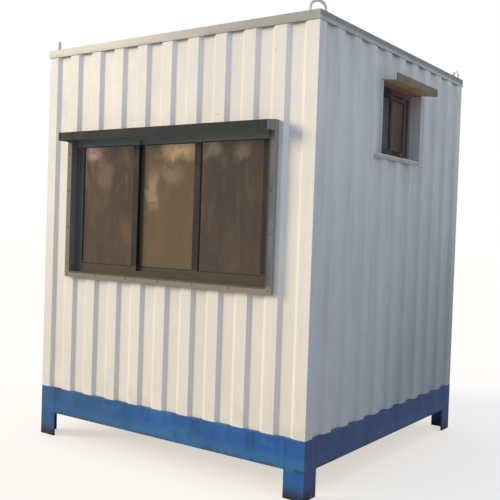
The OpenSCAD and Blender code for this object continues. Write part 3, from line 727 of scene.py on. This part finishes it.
class Shape:
    """Vertices and faces of one added piece, gathered form by form."""

    def __init__(self):
        self.vertices = []
        self.faces = []

    def loft(self, rings, closed=False):
        """Skins a row of closed rings, joined end to end or with an end face on each."""
        start, count = len(self.vertices), len(rings[0])
        for ring in rings:
            self.vertices.extend(ring)
        for i in range(len(rings) if closed else len(rings) - 1):
            a = start + i * count
            b = start + (i + 1) % len(rings) * count
            for k in range(count):
                n = (k + 1) % count
                self.faces.append((a + k, a + n, b + n, b + k))
        if not closed:
            last = start + (len(rings) - 1) * count
            self.faces.append(tuple(range(start, start + count)))
            self.faces.append(tuple(range(last, last + count)))

    def turned(self, centre, axis, profile, segments):
        """Turned or many-sided form: a profile of (radius, height) about an axis."""
        side = axis.orthogonal().normalized()
        other = axis.cross(side)
        steps = [2 * math.pi * k / segments for k in range(segments)]
        self.loft([
            [centre + axis * h + (side * math.cos(a) + other * math.sin(a)) * r for a in steps]
            for r, h in profile
        ])

    def bead(self, start, end, normal, width, height, ripple):
        """Rippled run of weld or sealant between two points on a face."""
        length = (end - start).length
        across = (end - start).normalized().cross(normal)
        count = max(2, round(length / ripple)) * RIPPLE_STEPS
        rings = []
        for i in range(count + 1):
            swell = 1 - RIPPLE_DEPTH * (1 - abs(math.sin(math.pi * i / RIPPLE_STEPS)))
            centre = start.lerp(end, i / count)
            rings.append([
                centre + across * (math.cos(a) * swell * width / 2)
                + normal * (math.sin(a) * swell * height - SUNK)
                for a in (math.pi * k / ARC_STEPS for k in range(ARC_STEPS + 1))
            ])
        self.loft(rings)

    def finish(self, name, material, slot, smooth=True):
        """Makes the piece, in the CAD frame, riding on the cabin."""
        mesh = bpy.data.meshes.new(name)
        mesh.from_pydata([tuple(v) for v in self.vertices], [], self.faces)
        shell = bmesh.new()
        shell.from_mesh(mesh)
        bmesh.ops.recalc_face_normals(shell, faces=shell.faces)
        shell.to_mesh(mesh)
        shell.free()
        mesh.materials.append(material)
        for polygon in mesh.polygons:
            polygon.use_smooth = smooth
        piece = bpy.data.objects.new(name, mesh)
        bpy.context.scene.collection.objects.link(piece)
        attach(piece, "root")


def steps_between(start, end, pitch):
    """Evenly spaced places from start to end, about a pitch apart."""
    count = max(1, round((end - start) / pitch))
    return [start + (end - start) * i / count for i in range(count + 1)]


def panes(window):
    """Light of each sash: (centre, low edge, half width, height, depth of the glass face)."""
    centre, low, high, half, depth, count, stile = window[1:]
    leaf = (2 * (half - SASH_REST) + (count - 1) * stile) / count
    clear = high - low - 2 * (SASH_REST + SASH_RAIL) - SASH_PLAY
    for i in range(count):
        x = centre + (i - (count - 1) / 2) * (leaf - stile)
        y = depth + TRACK_FIN + SASH_PLAY + i % 2 * TRACK_PITCH + GLASS_IN
        yield x, low + SASH_REST + SASH_RAIL, leaf / 2 - stile, clear, y


def glazing_gaskets():
    """Rubber beads around both faces of every pane."""
    for name, window in WINDOWS.items():
        shape = Shape()
        wall = window[0]
        for x, low, half, height, y in panes(window):
            for face, sign in ((y, -1), (y + GLASS_T, 1)):
                rings = []
                for across, up in ((-1, 0), (1, 0), (1, 1), (-1, 1)):
                    rings.append([
                        on_wall(
                            wall, x + across * (half - inset), face + sign * rise,
                            low + height - inset if up else low + inset,
                        )
                        for inset, rise in GASKET_PROFILE
                    ])
                shape.loft(rings, closed=True)
        shape.finish(name + "_gaskets", GASKET, "window_frame", smooth=False)


def base_welds():
    """Welds that join the beams to the edges of the legs."""
    shape = Shape()
    for wall in range(4):
        for x in (LEG_W - HALF, HALF - LEG_W):
            low, high = on_wall(wall, x, 0, UNDERSIDE), on_wall(wall, x, 0, BASE_TOP)
            shape.bead(low, high, out_of(wall), *BASE_WELD)
    shape.finish("base_welds", MATERIALS["base_paint"], "base_paint")


def wall_seams():
    """Painted weld lines where the sheets meet the posts and the parts beside the openings."""
    seams = []
    for sign in (-1, 1):
        x = sign * (WINDOW_HALF + REVEAL_T)
        seams.append((FRONT, x, 0.0, BASE_TOP, WINDOW_LOW - TRIM_W))
        seams.append((FRONT, x, 0.0, WINDOW_HIGH + TRIM_W, RAIL_LOW))
    for wall, centre in ((RIGHT, VENT_SHIFT), (LEFT, -VENT_SHIFT)):
        for sign in (-1, 1):
            x = centre + sign * (VENT_HALF + REVEAL_T)
            seams.append((wall, x, GROOVE_DEPTH, BASE_TOP, RAIL_LOW))
    seams += [(REAR, sign * DOOR_CUT, 0.0, DOOR_HOOD_TOP, RAIL_LOW) for sign in (-1, 1)]
    for wall in range(4):
        for sign in (-1, 1):
            seams.append((wall, sign * (HALF - POST_W), 0.0, BASE_TOP, RAIL_LOW))
    shape = Shape()
    for wall, x, y, low, high in seams:
        shape.bead(on_wall(wall, x, y, low), on_wall(wall, x, y, high), out_of(wall), *WALL_SEAM)
    shape.finish("wall_seams", MATERIALS["wall_paint"], "wall_paint")


def ring_welds():
    """A collar of weld around both feet of each lifting ring."""
    shape = Shape()
    for sx, sy in ((-1, -1), (1, -1), (1, 1), (-1, 1)):
        middle = Vector((sx * (HALF - RING_IN), sy * (HALF - RING_IN), WALL_TOP))
        along = Vector((sx, -sy, 0)).normalized() * RING_REACH
        for sign in (-1, 1):
            shape.turned(middle + sign * along, UP, RING_COLLAR, ROUND_SEGMENTS)
    shape.finish("ring_welds", MATERIALS["ring_steel"], "ring_steel")


def roof_edge():
    """Sealant around the roof sheet, and rivets that hold it to the ledge."""
    edge, corner = HALF - ROOF_INSET, HALF - ROOF_CLIP
    outline = []
    for turn in range(4):
        for x, y in ((-corner, -edge), (corner, -edge)):
            outline.append(Matrix.Rotation(turn * math.pi / 2, 3, "Z") @ Vector((x, y, WALL_TOP)))
    sealant, rivets = Shape(), Shape()
    for start, end in zip(outline, outline[1:] + outline[:1]):
        sealant.bead(start, end, UP, *ROOF_SEALANT)
    reach = corner - ROOF_RIVET_END
    for wall in range(4):
        for x in steps_between(-reach, reach, ROOF_RIVET_PITCH):
            rivets.turned(on_wall(wall, x, ROOF_RIVET_IN, WALL_TOP + SHEET_T), UP, RIVET, RIVET_SEGMENTS)
    sealant.finish("roof_sealant", MATERIALS["roof_paint"], "roof_paint")
    rivets.finish("roof_rivets", MATERIALS["roof_paint"], "roof_paint")


def ventilator_fixings():
    """Weld along the top of each ventilator tray, and rivets in the sill strips."""
    weld, rivets = Shape(), Shape()
    for wall, sign in ((RIGHT, 1), (LEFT, -1)):
        centre = sign * VENT_SHIFT
        start, end = (
            on_wall(wall, centre + d * VENT_HALF, -TRAY_WELD_OUT, VENT_HIGH + HOOD_T) for d in (-1, 1)
        )
        weld.bead(start, end, UP, *TRAY_WELD)
        reach = VENT_HALF + SILL_OVER - SILL_RIVET_END
        middle = centre - sign * SILL_SHIFT
        for x in steps_between(middle - reach, middle + reach, SILL_RIVET_PITCH):
            place = on_wall(wall, x, -SILL_OUT, VENT_LOW - SILL_T / 2)
            rivets.turned(place, out_of(wall), RIVET, RIVET_SEGMENTS)
    weld.finish("ventilator_tray_welds", MATERIALS["vent_hood_paint"], "vent_hood_paint")
    rivets.finish("ventilator_sill_rivets", MATERIALS["wall_paint"], "wall_paint")


def trim_screws():
    """Hexagon screws with washers along the faces of the window trim."""
    shape = Shape()
    out = out_of(FRONT)
    side = WINDOW_HALF + TRIM_W / 2
    bottom = WINDOW_LOW - TRIM_W / 2
    heights = steps_between(TRIM_SCREW_LOW, TRIM_SCREW_HIGH, TRIM_SCREW_PITCH_UP)
    places = [(sign * side, z) for sign in (-1, 1) for z in heights]
    places += [(x, bottom) for x in steps_between(-side, side, TRIM_SCREW_PITCH_ALONG)]
    for x, z in places:
        centre = on_wall(FRONT, x, -TRIM_OUT, z)
        shape.turned(centre, out, WASHER, ROUND_SEGMENTS)
        shape.turned(centre, out, HEX_HEAD, HEX_SEGMENTS)
    shape.finish("window_trim_screws", MATERIALS["trim_paint"], "trim_paint", smooth=False)


def door_fixings():
    """Screws of the door's handle plate and hinges, the lock, and sealant over its hood."""
    steel, sealant = Shape(), Shape()
    out = out_of(REAR)
    places = [(HANDLE_X, HANDLE_FACE, HANDLE_Z + sign * HANDLE_SCREW_RISE) for sign in (-1, 1)]
    for z in HINGE_ROW:
        for dx in (-HINGE_SCREW_ASIDE, HINGE_SCREW_ASIDE):
            for dz in (-HINGE_SCREW_RISE, HINGE_SCREW_RISE):
                places.append((HINGE_X + dx, HINGE_FACE, z + dz))
    for x, face, z in places:
        steel.turned(on_wall(REAR, x, -face, z), out, SCREW, ROUND_SEGMENTS)
    lock = on_wall(REAR, HANDLE_X, -HANDLE_FACE, HANDLE_Z - LOCK_DROP)
    steel.turned(lock, out, LOCK, ROUND_SEGMENTS)
    start, end = (
        on_wall(REAR, sign * DOOR_HOOD_HALF, -DOOR_SEALANT_OUT, DOOR_HOOD_TOP - DOOR_SEALANT_DOWN)
        for sign in (-1, 1)
    )
    sealant.bead(start, end, UP, *DOOR_HOOD_SEALANT)
    steel.finish("door_fixings", MATERIALS["door_hardware"], "door_hardware")
    sealant.finish("door_hood_sealant", MATERIALS["hood_paint"], "hood_paint")


glazing_gaskets()
base_welds()
wall_seams()
ring_welds()
roof_edge()
ventilator_fixings()
trim_screws()
door_fixings()


# Stage: a pale floor, cool light from all round and one warm lamp
FLOOR_HALF = 60.0
FLOOR_TONES = ((0.44, 0.44, 0.44), (0.47, 0.47, 0.47))
FLOOR_GLOW = (0.62, 0.58, 0.52, 1.0)
FILL_COLOUR = (0.54, 0.645, 0.82, 1.0)
WHITE = (1.0, 1.0, 1.0, 1.0)
KEY_ENERGY = 3.1
KEY_COLOUR = (1.0, 0.82, 0.54)
KEY_ANGLE = math.radians(23.0)
KEY_ELEVATION = math.radians(16.0)
KEY_SIDE = Vector((-0.83, -0.56, 0))

# The photograph's camera, with its angles in degrees
CAMERA_PLACE = (3.6092, -5.2653, 1.6734)
CAMERA_YAW_PITCH_ROLL = (35.164, -1.551, -1.926)
FOCAL_PIXELS = 768.5
PHOTO_PIXELS = 500
SENSOR_MM = 36.0


def stage_floor():
    """A pale floor that keeps the shadow and meets the white backdrop."""
    mesh = bpy.data.meshes.new("floor")
    corners = [(x * FLOOR_HALF, y * FLOOR_HALF, 0) for x, y in ((-1, -1), (1, -1), (1, 1), (-1, 1))]
    mesh.from_pydata(corners, [], [(0, 1, 2, 3)])
    floor = bpy.data.objects.new("floor", mesh)
    bpy.context.scene.collection.objects.link(floor)
    s = Surface("studio_floor", Roughness=0.95, Specular_IOR_Level=0.1)
    s.set("Base Color", s.blend(s.noise(0.6, 3.0), *FLOOR_TONES))
    path = s.add("ShaderNodeLightPath").outputs
    glow = s.add("ShaderNodeEmission")
    glow.inputs["Color"].default_value = FLOOR_GLOW
    s.link(
        s.most(path["Is Camera Ray"], path["Is Glossy Ray"], path["Is Transmission Ray"]),
        glow.inputs["Strength"],
    )
    total = s.add("ShaderNodeAddShader")
    s.link(s.shader.outputs[0], total.inputs[0])
    s.link(glow.outputs[0], total.inputs[1])
    s.link(total.outputs[0], s.tree.nodes["Material Output"].inputs["Surface"])
    mesh.materials.append(s.material)


def stage_light():
    """Cool soft light from all round, and one warm wide lamp from the front left."""
    world = bpy.data.worlds.new("studio")
    bpy.context.scene.world = world
    world.use_nodes = True
    tree = world.node_tree
    fill = tree.nodes["Background"]
    fill.inputs["Color"].default_value = FILL_COLOUR
    fill.inputs["Strength"].default_value = 1.0
    white = tree.nodes.new("ShaderNodeBackground")
    white.inputs["Color"].default_value = WHITE
    path = tree.nodes.new("ShaderNodeLightPath").outputs
    seen = path["Is Camera Ray"]
    for other in ("Is Glossy Ray", "Is Transmission Ray"):
        either = tree.nodes.new("ShaderNodeMath")
        either.operation = "MAXIMUM"
        tree.links.new(seen, either.inputs[0])
        tree.links.new(path[other], either.inputs[1])
        seen = either.outputs[0]
    mix = tree.nodes.new("ShaderNodeMixShader")
    tree.links.new(seen, mix.inputs[0])
    tree.links.new(fill.outputs[0], mix.inputs[1])
    tree.links.new(white.outputs[0], mix.inputs[2])
    tree.links.new(mix.outputs[0], tree.nodes["World Output"].inputs["Surface"])

    lamp = bpy.data.lights.new("key", "SUN")
    lamp.energy = KEY_ENERGY
    lamp.color = KEY_COLOUR
    lamp.angle = KEY_ANGLE
    key = bpy.data.objects.new("key", lamp)
    bpy.context.scene.collection.objects.link(key)
    to_lamp = KEY_SIDE * math.cos(KEY_ELEVATION) + UP * math.sin(KEY_ELEVATION)
    key.rotation_euler = to_lamp.to_track_quat("Z", "Y").to_euler()


def stage_camera():
    """The photograph's view: place, turn and lens solved from the cabin's corners."""
    yaw, pitch, roll = (math.radians(a) for a in CAMERA_YAW_PITCH_ROLL)
    turn = Matrix.Rotation(yaw, 3, "Z") @ Matrix.Rotation(pitch, 3, "X") @ Matrix.Rotation(roll, 3, "Y")
    right, forward, up = (turn.col[i] for i in range(3))
    data = bpy.data.cameras.new("camera")
    data.sensor_width = SENSOR_MM
    data.lens = FOCAL_PIXELS / PHOTO_PIXELS * SENSOR_MM
    camera = bpy.data.objects.new("camera", data)
    basis = Matrix((right, up, -forward)).transposed().to_4x4()
    camera.matrix_world = Matrix.Translation(CAMERA_PLACE) @ basis
    bpy.context.scene.collection.objects.link(camera)
    bpy.context.scene.camera = camera


stage_floor()
stage_light()
stage_camera()
bpy.context.scene.view_settings.view_transform = "Standard"
